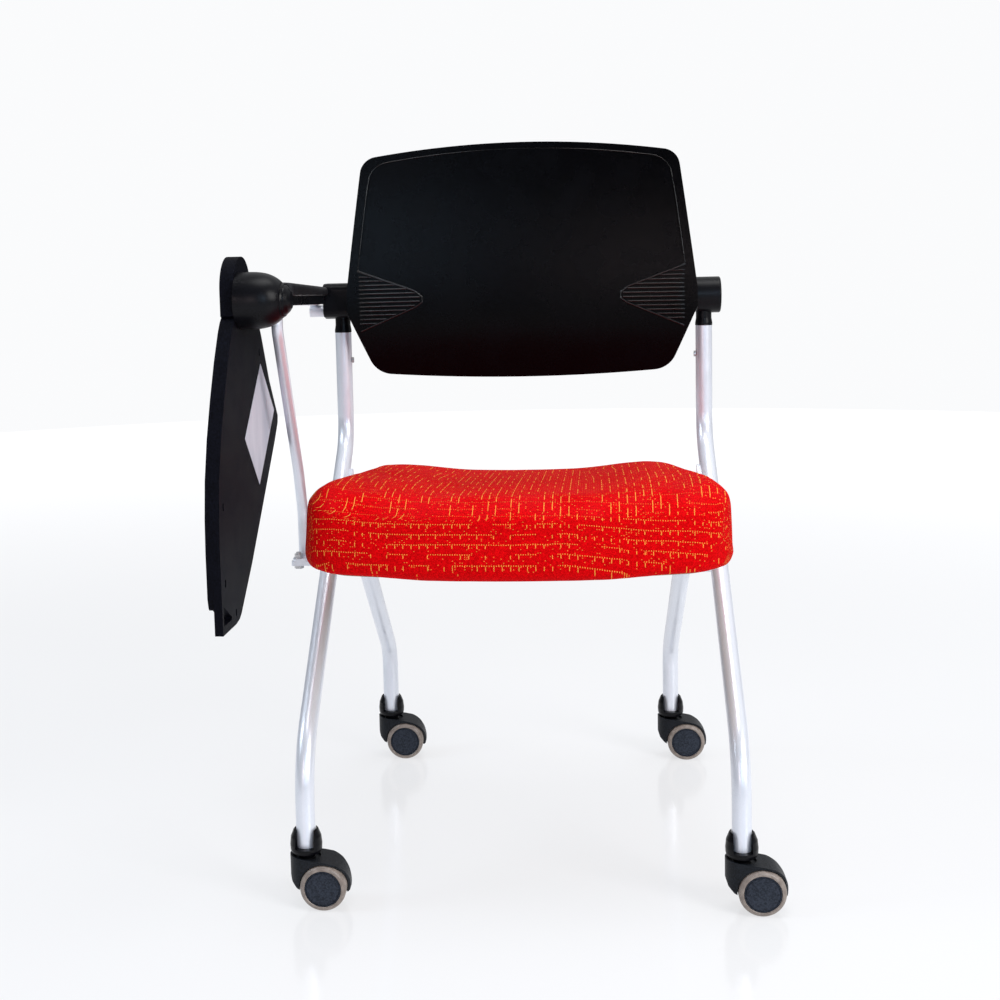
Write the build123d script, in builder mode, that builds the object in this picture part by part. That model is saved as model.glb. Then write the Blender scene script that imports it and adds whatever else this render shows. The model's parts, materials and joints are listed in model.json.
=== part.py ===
from build123d import *
import os
from math import acos, cos, radians, sin, tan

os.makedirs("parts", exist_ok=True)

# Nesting classroom chair: tube frame on four twin-wheel casters, a fabric seat that flips up,
# a tilting plastic back and a writing tablet that hangs beside the left arm when stored.
# Millimetres, +Z up, the sitter faces -Y. Everything is drawn in chair coordinates
# (X = 0 symmetry plane, Y = 0 front leg axis, Z = 3 floor) and moved once by SHIFT when
# written, so that the origin lies on the floor under the middle of the bounding box.
FLOOR_Z = 3.0
SHIFT_X = 20.5
SHIFT_Y = -224.5
SHIFT_Z = -FLOOR_Z

SIDES = (("l", -1), ("r", 1))

# frame tubes
TUBE_R = 10.0
TUBE_WALL = 1.5
TRACK_F = 223.2
TRACK_R = 185.3
WHEELBASE = 470.0
LEG_FOOT_Z = 66.0
BEND_R = 55.0
KNEE_R = 95.0
KNEE_Z = 158.0
HIP_Y = 388.0
HIP_Z = 442.3
UPRIGHT_TOP = 577.0
REAR_KNEE_Z = 148.0
CROSS_Y = 238.0
CROSS_Z = 311.0
CROSS_HALF = 226.0

# back hinge and shell
HUB_Z = 614.0
HUB_R = 22.0
PIN_R = 5.0
RUN_FIT = 0.05
SHELL_R = 920.0
SHELL_T = 5.0
SHELL_FRONT = 383.0
VENT_RIBS = 13

# seat
SEAT_PIVOT_Y = 330.0
SEAT_PIVOT_Z = 360.0
SEAT_FRONT = -42.0
SEAT_REAR = 402.0
SEAT_HALF_FRONT = 220.0
FRONT_BOW = 30.0
SEAT_HALF_REAR = 192.0
SEAT_BOTTOM = 351.0
SEAT_TOP_FRONT = 434.0
SEAT_TOP_REAR = 400.0

# arm and tablet
ARM_X = -256.5
ARM_R = 6.25
STUB_R = 7.25
ARM_WALL = 1.2
FLIP_Z = 629.0
STUB_Z = 604.0
TABLET_YAW = 3.0
HINGE_X = -290.0
HINGE_Y = 84.0
BOARD_T = 15.0
BELL_R = 30.3

# casters
WHEEL_R = 24.0
WHEEL_Z = FLOOR_Z + WHEEL_R
HUB_DISC_R = 19.0
TRAIL = 18.8
WHEEL_IN = 7.3
WHEEL_OUT = 21.0
STEM_R = 5.5
AXLE_R = 3.0


def save(part, name):
    """Move a finished piece from chair coordinates to the row frame and write it."""
    part = part.moved(Location((SHIFT_X, SHIFT_Y, SHIFT_Z)))
    part.label = name
    export_step(part, f"parts/{name}.step")


def bent_path(corners, radii):
    """Centre line through the corner points, rounded at every inner corner."""
    points = [Vector(*p) for p in corners]
    with BuildLine() as line:
        start = points[0]
        for a, b, c, r in zip(points, points[1:], points[2:], radii):
            u = (a - b).normalized()
            v = (c - b).normalized()
            half = acos(u.dot(v)) / 2
            tangent = r / tan(half)
            middle = b + (u + v).normalized() * (r / sin(half) - r)
            Line(start, b + u * tangent)
            ThreePointArc(b + u * tangent, middle, b + v * tangent)
            start = b + v * tangent
        Line(start, points[-1])
    return line.wires()[0]


def tube(path, outer, inner=0.0):
    """Round tube, or a solid rod when inner is zero, swept along a centre line."""
    with BuildPart() as swept:
        with BuildSketch(Plane(origin=path @ 0, z_dir=path % 0)):
            Circle(outer)
            if inner > 0:
                Circle(inner, mode=Mode.SUBTRACT)
        sweep(path=path)
    return swept.part


def rod(start, end, radius):
    """Plain cylinder between two points."""
    a = Vector(*start)
    b = Vector(*end)
    with BuildPart() as cylinder:
        with BuildSketch(Plane(origin=a, z_dir=b - a)):
            Circle(radius)
        extrude(amount=(b - a).length)
    return cylinder.part


def side_path(sx):
    """Front leg, diagonal and upright: one bent centre line."""
    x = sx * TRACK_F
    corners = [(x, 0, LEG_FOOT_Z), (x, 0, KNEE_Z), (x, HIP_Y, HIP_Z), (x, HIP_Y, UPRIGHT_TOP)]
    return bent_path(corners, [KNEE_R, BEND_R])


CROSS_ROD = rod((-CROSS_HALF, CROSS_Y, CROSS_Z), (CROSS_HALF, CROSS_Y, CROSS_Z), TUBE_R)

# ---------------------------------------------------------------- frame tubes
SCREW_Z = 542.0
for side, sx in SIDES:
    with BuildPart() as side_tube:
        add(tube(side_path(sx), TUBE_R, TUBE_R - TUBE_WALL))
        # hole for the hub's retaining screw, on the inner face of the upright
        add(rod((sx * 200, HIP_Y, SCREW_Z), (sx * TRACK_F, HIP_Y, SCREW_Z), 2.0), mode=Mode.SUBTRACT)
    save(side_tube.part, f"side_tube_{side}")

    x = sx * TRACK_R
    rear = bent_path([(x, WHEELBASE, LEG_FOOT_Z), (x, WHEELBASE, REAR_KNEE_Z),
                      (x, CROSS_Y + 4, CROSS_Z + 6)], [BEND_R])
    with BuildPart() as rear_leg:
        add(tube(rear, TUBE_R, TUBE_R - TUBE_WALL))
        # coped end that is welded round the cross tube
        add(CROSS_ROD, mode=Mode.SUBTRACT)
        with BuildSketch(Plane.XY.offset(CROSS_Z - 40)):
            with Locations((x, CROSS_Y - 25)):
                Rectangle(60, 50)
        extrude(amount=90, mode=Mode.SUBTRACT)
    save(rear_leg.part, f"rear_leg_{side}")

with BuildPart() as cross_tube:
    add(tube(Edge.make_line((-CROSS_HALF, CROSS_Y, CROSS_Z), (CROSS_HALF, CROSS_Y, CROSS_Z)),
             TUBE_R, TUBE_R - TUBE_WALL))
    for side, sx in SIDES:
        add(tube(side_path(sx), TUBE_R), mode=Mode.SUBTRACT)
save(cross_tube.part, "cross_tube")

# ears that carry the seat pivot, welded to the inner side of the diagonals
EAR_IN = 209.5
EAR_OUT = 214.2
with BuildPart() as pivot_ears:
    for side, sx in SIDES:
        with BuildSketch(Plane.YZ.offset(sx * EAR_IN)):
            with BuildLine():
                CenterArc((SEAT_PIVOT_Y, SEAT_PIVOT_Z), 13, 0, 360)
                CenterArc((316, 389.6), 5, 0, 360)
                CenterArc((341, 406), 5, 0, 360)
            make_hull()
            with Locations((SEAT_PIVOT_Y, SEAT_PIVOT_Z)):
                Circle(4.5, mode=Mode.SUBTRACT)
        extrude(amount=sx * (EAR_OUT - EAR_IN))
        add(tube(side_path(sx), TUBE_R), mode=Mode.SUBTRACT)
save(pivot_ears.part, "pivot_ears")

# shoulder bolts of the seat hinge
with BuildPart() as seat_pivot_bolts:
    for side, sx in SIDES:
        for x0, x1, r in ((201.0, EAR_OUT, 4.5), (206.6, EAR_IN, 7.0), (EAR_OUT, 218.0, 8.0)):
            add(rod((sx * x0, SEAT_PIVOT_Y, SEAT_PIVOT_Z), (sx * x1, SEAT_PIVOT_Y, SEAT_PIVOT_Z), r))
        with BuildSketch(Plane.YZ.offset(sx * 218.0)):
            with Locations((SEAT_PIVOT_Y, SEAT_PIVOT_Z)):
                RegularPolygon(3.2, 6)
        extrude(amount=-sx * 2.5, mode=Mode.SUBTRACT)
save(seat_pivot_bolts.part, "seat_pivot_bolts")

# ---------------------------------------------------------------- arm
BRACKET_Z = 316.0
BRACKET_T = 5.0
FOOT_T = 3.0
ARM_BOLTS = ((-260.0, 222.0), (-260.0, 257.0))

arm_corners = [(ARM_X, HIP_Y + 8, 617.0), (ARM_X, 98, FLIP_Z), (ARM_X, 219, 428),
               (ARM_X, 240, 376), (ARM_X, 240, BRACKET_Z + BRACKET_T + FOOT_T)]
arm_path = bent_path(arm_corners, [25.0, 80.0, 60.0])
arm_solid = tube(arm_path, ARM_R)
stub_rod = rod((-264.0, HIP_Y, STUB_Z), (-234.0, HIP_Y, STUB_Z), STUB_R)
flip_rod = rod((ARM_X, 66, FLIP_Z), (ARM_X, 150, FLIP_Z), PIN_R)

with BuildPart() as arm_tube:
    add(tube(arm_path, ARM_R, ARM_R - ARM_WALL))
    # flat foot welded under the tube
    with BuildSketch(Plane.XY.offset(BRACKET_Z + BRACKET_T)):
        with Locations((-257.5, 239.5)):
            RectangleRounded(18, 50, 4)
        with Locations(*ARM_BOLTS):
            Circle(3.1, mode=Mode.SUBTRACT)
    extrude(amount=FOOT_T)
    add(stub_rod, mode=Mode.SUBTRACT)
    add(flip_rod, mode=Mode.SUBTRACT)
save(arm_tube.part, "arm_tube")

# short cross stub that joins the arm tube to the left hub
with BuildPart() as arm_stub:
    add(stub_rod)
    add(rod((-262.0, HIP_Y, STUB_Z), (-234.0, HIP_Y, STUB_Z), STUB_R - ARM_WALL), mode=Mode.SUBTRACT)
save(arm_stub.part, "arm_stub")

with BuildPart() as flip_pin:
    add(flip_rod)
save(flip_pin.part, "flip_pin")

with BuildPart() as arm_bracket:
    with BuildSketch(Plane.XY.offset(BRACKET_Z)):
        with Locations((-241.0, 239.5)):
            RectangleRounded(54, 50, 3)
        with Locations(*ARM_BOLTS):
            Circle(3.1, mode=Mode.SUBTRACT)
    extrude(amount=BRACKET_T)
    add(tube(side_path(-1), TUBE_R), mode=Mode.SUBTRACT)
    add(CROSS_ROD, mode=Mode.SUBTRACT)
save(arm_bracket.part, "arm_bracket")

# bolts with hexagon heads below the bracket and nuts above the foot
with BuildPart() as arm_bolts:
    for bx, by in ARM_BOLTS:
        with BuildSketch(Plane.XY.offset(BRACKET_Z - 4)):
            with Locations((bx, by)):
                RegularPolygon(5.5, 6)
        extrude(amount=4)
        with BuildSketch(Plane.XY.offset(BRACKET_Z - 1)):
            with Locations((bx, by)):
                Circle(3.0)
        extrude(amount=16)
        with BuildSketch(Plane.XY.offset(BRACKET_Z + BRACKET_T + FOOT_T)):
            with Locations((bx, by)):
                RegularPolygon(5.0, 6)
        extrude(amount=5)
save(arm_bolts.part, "arm_bolts")

# arm pad on its channel-shaped base, both saddled over the tube
PAD_FRONT = 114.5
PAD_REAR = 366.0
with BuildPart() as arm_pad:
    with BuildSketch(Plane.YZ.offset(ARM_X - 20)):
        Polygon((PAD_FRONT, 632), (PAD_FRONT, 646), (PAD_REAR, 634), (PAD_REAR, 624), align=None)
    extrude(amount=40)
    fillet(arm_pad.edges().filter_by(Axis.Z), 7)
    fillet(arm_pad.faces().sort_by(Axis.Z)[-1].edges(), 3.5)
    add(arm_solid, mode=Mode.SUBTRACT)
    add(flip_rod, mode=Mode.SUBTRACT)
save(arm_pad.part, "arm_pad")

with BuildPart() as arm_pad_base:
    with BuildSketch(Plane.YZ.offset(ARM_X - 15)):
        Polygon((PAD_FRONT, 622), (PAD_FRONT, 634), (362, 626), (362, 613.5), align=None)
    extrude(amount=30)
    fillet(arm_pad_base.edges().filter_by(Axis.Z), 5)
    add(arm_pad.part, mode=Mode.SUBTRACT)
    add(arm_solid, mode=Mode.SUBTRACT)
    add(flip_rod, mode=Mode.SUBTRACT)
save(arm_pad_base.part, "arm_pad_base")

# ---------------------------------------------------------------- back hubs
HUB_IN = 214.0
PIN_END = 231.5


def hub(sx, outer_x, block):
    """T connector: a drum round the back pivot on a neck that caps the upright."""
    x = sx * TRACK_F
    with BuildPart() as drum:
        with BuildSketch(Plane.YZ.offset(sx * HUB_IN)):
            with Locations((HIP_Y, HUB_Z)):
                Circle(HUB_R - (2 if block else 0))
            if block:
                with Locations((HIP_Y, HUB_Z + 3)):
                    RectangleRounded(40, 42, 9)
        extrude(amount=sx * (outer_x - HUB_IN))
        outer = drum.faces().sort_by(Axis.X)[0 if sx < 0 else -1]
        fillet(outer.edges(), 2.0)
        # waisted neck that sits on the tube, and the plug pressed into it
        with BuildSketch(Plane(origin=(x, HIP_Y, 0), x_dir=(1, 0, 0), z_dir=(0, -1, 0))):
            Polygon((0, 525), (TUBE_R - TUBE_WALL, 525), (TUBE_R - TUBE_WALL, UPRIGHT_TOP),
                    (10.4, UPRIGHT_TOP), (10.4, 580), (9.4, 586), (9.4, 600), (0, 600), align=None)
        revolve(axis=Axis((x, HIP_Y, 0), (0, 0, 1)))
        add(rod((sx * 200, HIP_Y, SCREW_Z), (x, HIP_Y, SCREW_Z), 2.0), mode=Mode.SUBTRACT)
        bearing = rod((sx * HUB_IN, HIP_Y, HUB_Z), (sx * PIN_END, HIP_Y, HUB_Z), PIN_R + RUN_FIT)
        add(bearing, mode=Mode.SUBTRACT)
        if block:
            add(stub_rod, mode=Mode.SUBTRACT)
    return drum.part


save(hub(-1, 245.0, True), "hub_l")
save(hub(1, 243.0, False), "hub_r")

with BuildPart() as upright_screws:
    for side, sx in SIDES:
        face = TRACK_F - TUBE_R
        add(rod((sx * (face - 2.2), HIP_Y, SCREW_Z), (sx * face, HIP_Y, SCREW_Z), 3.6))
        add(rod((sx * (face - 1), HIP_Y, SCREW_Z), (sx * (face + 3), HIP_Y, SCREW_Z), 2.0))
save(upright_screws.part, "upright_screws")

# ---------------------------------------------------------------- back shell
SHELL_CENTRE = SHELL_FRONT - SHELL_R
SHELL_HALF_ARC = 15.0
# side profile of the front face: how far it sits behind the plain curve, and at what height
LUMBAR = ((13, 500), (4, 540), (-3, 580), (-5, 620), (-4, 660), (-1, 700), (4, 745), (10, 785), (15, 815))


def shell_layer(inner, outer):
    """Slab between two depths of the back, bowed in plan and with a lumbar swell in side view."""
    a = radians(SHELL_HALF_ARC)
    start = Plane(origin=(0, SHELL_CENTRE, 0), x_dir=(sin(a), cos(a), 0), z_dir=(cos(a), -sin(a), 0))
    with BuildPart() as layer:
        with BuildSketch(start):
            with BuildLine():
                near = Spline(*[(inner + d, z) for d, z in LUMBAR])
                far = Spline(*[(outer + d, z) for d, z in LUMBAR])
                Line(near @ 0, far @ 0)
                Line(near @ 1, far @ 1)
            make_face()
        revolve(axis=Axis((0, SHELL_CENTRE, 0), (0, 0, 1)), revolution_arc=2 * SHELL_HALF_ARC)
    return layer.part


def shell_outline(top_x, top_z, side_x, foot_x, bottom_z, rise):
    """Front outline of the back: bowed top, flared sides, tapered foot."""
    with BuildPart() as prism:
        with BuildSketch(Plane(origin=(0, 300, 0), x_dir=(1, 0, 0), z_dir=(0, -1, 0))) as outline:
            with BuildLine():
                ThreePointArc((-top_x, top_z), (0, top_z + 17), (top_x, top_z))
                Line((top_x, top_z), (side_x, 625))
                Line((side_x, 625), (side_x, 602))
                Line((side_x, 602), (foot_x, bottom_z + rise))
                ThreePointArc((foot_x, bottom_z + rise), (0, bottom_z), (-foot_x, bottom_z + rise))
                Line((-foot_x, bottom_z + rise), (-side_x, 602))
                Line((-side_x, 602), (-side_x, 625))
                Line((-side_x, 625), (-top_x, top_z))
            make_face()
            fillet(outline.vertices().sort_by(Axis.Y)[:2], 30)
            fillet(outline.vertices().sort_by(Axis.Y)[-2:], 22)
        extrude(amount=-160)
    return prism.part


with BuildPart() as back_shell:
    add(shell_layer(SHELL_R, SHELL_R + SHELL_T))
    add(shell_outline(192, 789, 213, 180, 517, 9), mode=Mode.INTERSECT)
    skin = shell_layer(SHELL_R - 1, SHELL_R + 1.4)
    # moulded line round the inner panel
    outer_line = shell_outline(182, 782, 202, 168, 527, 9)
    inner_line = shell_outline(180.2, 780.2, 200.2, 166.5, 528.8, 9)
    upper = Box(420, 300, 160, align=(Align.CENTER, Align.MIN, Align.MIN), mode=Mode.PRIVATE)
    groove = (outer_line - inner_line) & skin & upper.moved(Location((0, 250, 655)))
    add(groove, mode=Mode.SUBTRACT)
    # ribbed vent fields
    for side, sx in SIDES:
        for k in range(VENT_RIBS):
            z = 617 + (k - (VENT_RIBS - 1) / 2) * 5.2
            slot = Box(100, 300, 2.4, mode=Mode.PRIVATE).moved(Location((sx * 165, 360, z)))
            with BuildPart(mode=Mode.PRIVATE) as wedge:
                with BuildSketch(Plane(origin=(0, 300, 0), x_dir=(1, 0, 0), z_dir=(0, -1, 0))):
                    Polygon((sx * 203, 652), (sx * 126, 619), (sx * 199, 582), align=None)
                extrude(amount=-160)
            add(wedge.part & slot & skin, mode=Mode.SUBTRACT)
    # stiffening rib between the pivots and a lug at each end
    rib = shell_layer(SHELL_R + SHELL_T, SHELL_R + SHELL_T + 8)
    band = Box(408, 300, 18, mode=Mode.PRIVATE).moved(Location((0, 360, HUB_Z)))
    add(rib & band)
    for side, sx in SIDES:
        with BuildSketch(Plane.YZ.offset(sx * 195)):
            with BuildLine():
                CenterArc((HIP_Y, HUB_Z), 12, 0, 360)
                CenterArc((362, HUB_Z + 14), 4, 0, 360)
                CenterArc((362, HUB_Z - 14), 4, 0, 360)
            make_hull()
        extrude(amount=sx * 13)
        add(rod((sx * 190, HIP_Y, HUB_Z), (sx * 215, HIP_Y, HUB_Z), PIN_R), mode=Mode.SUBTRACT)
save(back_shell.part, "back_shell")

with BuildPart() as back_pins:
    for side, sx in SIDES:
        add(rod((sx * 193, HIP_Y, HUB_Z), (sx * (PIN_END - 0.5), HIP_Y, HUB_Z), PIN_R))
        add(rod((sx * 191, HIP_Y, HUB_Z), (sx * 195, HIP_Y, HUB_Z), PIN_R + 3))
save(back_pins.part, "back_pins")

# ---------------------------------------------------------------- seat


def seat_prism(inset, z0, z1):
    """Seat plan with a bowed front and rounded corners, pulled in by an inset and extruded."""
    front = SEAT_FRONT + inset
    rear = SEAT_REAR - inset
    half_front = SEAT_HALF_FRONT - inset
    half_rear = SEAT_HALF_REAR - inset
    with BuildPart() as prism:
        with BuildSketch(Plane.XY.offset(z0)) as plan:
            with BuildLine():
                ThreePointArc((-half_front, front + FRONT_BOW), (0, front), (half_front, front + FRONT_BOW))
                Line((half_front, front + FRONT_BOW), (half_rear, rear))
                Line((half_rear, rear), (-half_rear, rear))
                Line((-half_rear, rear), (-half_front, front + FRONT_BOW))
            make_face()
            fillet(plan.vertices().sort_by(Axis.Y)[:2], 60 - inset)
            fillet(plan.vertices().sort_by(Axis.Y)[-2:], 38 - inset)
        extrude(amount=z1 - z0)
    return prism.part


board_solid = seat_prism(20.0, SEAT_BOTTOM, SEAT_BOTTOM + 10)
with BuildPart() as seat_cushion:
    add(seat_prism(0.0, SEAT_BOTTOM, 470.0))
    with BuildSketch(Plane.YZ.offset(-300)):
        Polygon((SEAT_FRONT - 20, SEAT_TOP_FRONT), (SEAT_REAR + 20, SEAT_TOP_REAR),
                (SEAT_REAR + 20, 500), (SEAT_FRONT - 20, 500), align=None)
    extrude(amount=600, mode=Mode.SUBTRACT)
    fillet(seat_cushion.faces().sort_by(Axis.Z)[-1].edges(), 26)
    fillet(seat_cushion.faces().sort_by(Axis.Z)[0].edges(), 18)
    add(board_solid, mode=Mode.SUBTRACT)
save(seat_cushion.part, "seat_cushion")

BUFFER_X = 120.0
SEAT_SCREWS = [(sx * bx, by) for side, sx in SIDES for bx, by in ((164, 276), (164, 340))]
with BuildPart() as seat_board:
    add(board_solid)
    with BuildSketch(Plane.XY.offset(SEAT_BOTTOM)):
        with Locations(*SEAT_SCREWS):
            Circle(2.1)
        with Locations((-BUFFER_X, CROSS_Y), (BUFFER_X, CROSS_Y)):
            Circle(4.0)
    extrude(amount=8, mode=Mode.SUBTRACT)
save(seat_board.part, "seat_board")

# angle brackets of the flip-up hinge, under the board and up beside the cushion
PLATE_T = 4.0
PLATE_Z = SEAT_BOTTOM - PLATE_T
with BuildPart() as seat_brackets:
    for side, sx in SIDES:
        with BuildSketch(Plane.XY.offset(PLATE_Z)):
            with Locations((sx * 178, 310)):
                RectangleRounded(56, 96, 6)
            with Locations(*[p for p in SEAT_SCREWS if p[0] * sx > 0]):
                Circle(2.1, mode=Mode.SUBTRACT)
        extrude(amount=PLATE_T)
        with BuildSketch(Plane.YZ.offset(sx * 202)):
            with BuildLine():
                CenterArc((SEAT_PIVOT_Y, SEAT_PIVOT_Z), 11, 0, 360)
                CenterArc((300, PLATE_Z + 3), 3, 0, 360)
                CenterArc((350, PLATE_Z + 3), 3, 0, 360)
            make_hull()
            with Locations((SEAT_PIVOT_Y, SEAT_PIVOT_Z)):
                Circle(4.5 + RUN_FIT, mode=Mode.SUBTRACT)
        extrude(amount=sx * 4)
save(seat_brackets.part, "seat_brackets")

with BuildPart() as seat_screws:
    for bx, by in SEAT_SCREWS:
        add(rod((bx, by, PLATE_Z - 2.6), (bx, by, PLATE_Z), 4.4))
        add(rod((bx, by, PLATE_Z - 0.5), (bx, by, SEAT_BOTTOM + 8), 2.1))
save(seat_screws.part, "seat_screws")

# rubber buffers that land on the cross tube
with BuildPart() as seat_buffers:
    for bx in (-BUFFER_X, BUFFER_X):
        with BuildSketch(Plane.XY.offset(318.5)):
            with Locations((bx, CROSS_Y)):
                RectangleRounded(34, 26, 5)
        extrude(amount=SEAT_BOTTOM - 318.5)
        add(rod((bx, CROSS_Y, SEAT_BOTTOM - 1), (bx, CROSS_Y, SEAT_BOTTOM + 8), 4.0))
    add(rod((-200, CROSS_Y, CROSS_Z), (200, CROSS_Y, CROSS_Z), TUBE_R + 0.35), mode=Mode.SUBTRACT)
save(seat_buffers.part, "seat_buffers")

# ---------------------------------------------------------------- tablet
YAW_C = cos(radians(TABLET_YAW))
YAW_S = sin(radians(TABLET_YAW))
HINGE = (HINGE_X, HINGE_Y, FLIP_Z)
# board plane: x runs rearward along the board, y runs down, z points away from the chair
BOARD = Plane(origin=HINGE, x_dir=(YAW_S, YAW_C, 0), z_dir=(-YAW_C, YAW_S, 0))
# bell profile plane: x runs from the board towards the arm, y runs up
BELL = Plane(origin=HINGE, x_dir=(YAW_C, -YAW_S, 0), z_dir=(-YAW_S, -YAW_C, 0))
BELL_AXIS = Axis(HINGE, (YAW_C, -YAW_S, 0))
PIVOT_R = 6.0
PIVOT_END = 22.0

with BuildPart() as bell_housing:
    with BuildSketch(BELL):
        with BuildLine():
            Line((0.5, 0), (0.5, BELL_R))
            Spline((0.5, BELL_R), (14, BELL_R), (25, 29.6), (34, 27.4), (42, 23.2), (47, 18.8))
            Polyline((47, 18.8), (47, 17.8), (48.2, 17.8), (48.2, 18.2), (50, 17.0), (50, 16.0),
                     (51.2, 15.6), (54.5, 12.6), (57, 9.0), (58, 5.5), (58, 0), (0.5, 0))
        make_face()
    revolve(axis=BELL_AXIS)
    # hollow round the pivot boss, open towards the board
    with BuildSketch(BELL):
        Polygon((0, 12), (0, 25.5), (14, 24.5), (22, 21), (22, 12), align=None)
    revolve(axis=BELL_AXIS, mode=Mode.SUBTRACT)
    with BuildSketch(BELL):
        Polygon((0, 0), (0, PIVOT_R + RUN_FIT), (PIVOT_END + 0.6, PIVOT_R + RUN_FIT),
                (PIVOT_END + 0.6, 0), align=None)
    revolve(axis=BELL_AXIS, mode=Mode.SUBTRACT)
    add(rod((ARM_X, 65, FLIP_Z), (ARM_X, 130, FLIP_Z), PIN_R + RUN_FIT), mode=Mode.SUBTRACT)
save(bell_housing.part, "bell_housing")

OUTLINE = [(-21, -10), (-21, 15), (-18, 16.5), (-25, 22), (-33, 31), (-52, 60), (-72, 97),
           (-90, 136), (-103, 177), (-109, 215), (-111, 250), (-110.5, 334), (-60, 334), (-46, 332),
           (-38, 328), (14, 284), (72, 228), (136, 166),
           (153, 147), (154, 139), (120, 95), (90, 42), (51, -12)]
END_CENTRE = (15, -10.6)
END_R = 36.0
with BuildPart() as tablet_board:
    with BuildSketch(BOARD):
        with Locations(END_CENTRE):
            Circle(END_R)
        Polygon(*OUTLINE, align=None)
    extrude(amount=BOARD_T)
    # lower corner thinned from the writing face, with a triangular finger slot through it
    with BuildSketch(BOARD.offset(BOARD_T)):
        Polygon((-120, 296), (-110.5, 297), (-108, 306), (-102, 313), (-94, 317), (-20, 317),
                (-20, 350), (-120, 350), align=None)
    extrude(amount=-6.3, mode=Mode.SUBTRACT)
    with BuildSketch(BOARD):
        Polygon((-106, 304), (-76, 322), (-76, 325), (-106, 325), align=None)
    extrude(amount=BOARD_T, mode=Mode.SUBTRACT)
    # small assembly slots in the inner face
    for u, v in ((-92, 205), (-95, 283), (-58, 322), (78, 60)):
        with BuildSketch(BOARD):
            with Locations((u, v)):
                Rectangle(4, 8)
        extrude(amount=2, mode=Mode.SUBTRACT)
    # pivot hole and pocket for the pivot's flange
    with BuildSketch(BOARD):
        Circle(PIVOT_R)
    extrude(amount=8, mode=Mode.SUBTRACT)
    with BuildSketch(BOARD.offset(4)):
        Circle(12)
    extrude(amount=4, mode=Mode.SUBTRACT)
save(tablet_board.part, "tablet_board")

# flanged pivot bolt, fixed in the board and turning in the bell
with BuildPart() as tablet_pivot:
    for z0, z1, r in ((-PIVOT_END, 4.0, PIVOT_R), (4.0, 8.0, 12.0)):
        with BuildSketch(BOARD.offset(z0)):
            Circle(r)
        extrude(amount=z1 - z0)
save(tablet_pivot.part, "tablet_pivot")

# blank paper label on the inner face
with BuildPart() as tablet_label:
    with BuildSketch(BOARD.offset(-0.3)):
        with Locations(Location((69.5, 139, 0), (0, 0, -43.6))):
            Rectangle(108, 80)
    extrude(amount=0.3)
save(tablet_label.part, "tablet_label")

# ---------------------------------------------------------------- casters
CASTERS = (("fl", -TRACK_F, 0.0), ("fr", TRACK_F, 0.0),
           ("rl", -TRACK_R, WHEELBASE), ("rr", TRACK_R, WHEELBASE))
POCKET_R = WHEEL_R + 1.0
HOOD_R = 27.0
CUP_R = 17.0
CUP_Z = 53.0
RIM_BACK = 58.5
RIM_FRONT = 54.8
TIP = (TRAIL + HOOD_R * cos(radians(13)), WHEEL_Z - HOOD_R * sin(radians(13)))
ARC_END = (TRAIL + HOOD_R * cos(radians(80)), WHEEL_Z + HOOD_R * sin(radians(80)))
ARC_MID = (TRAIL + HOOD_R * cos(radians(30)), WHEEL_Z + HOOD_R * sin(radians(30)))

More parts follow.
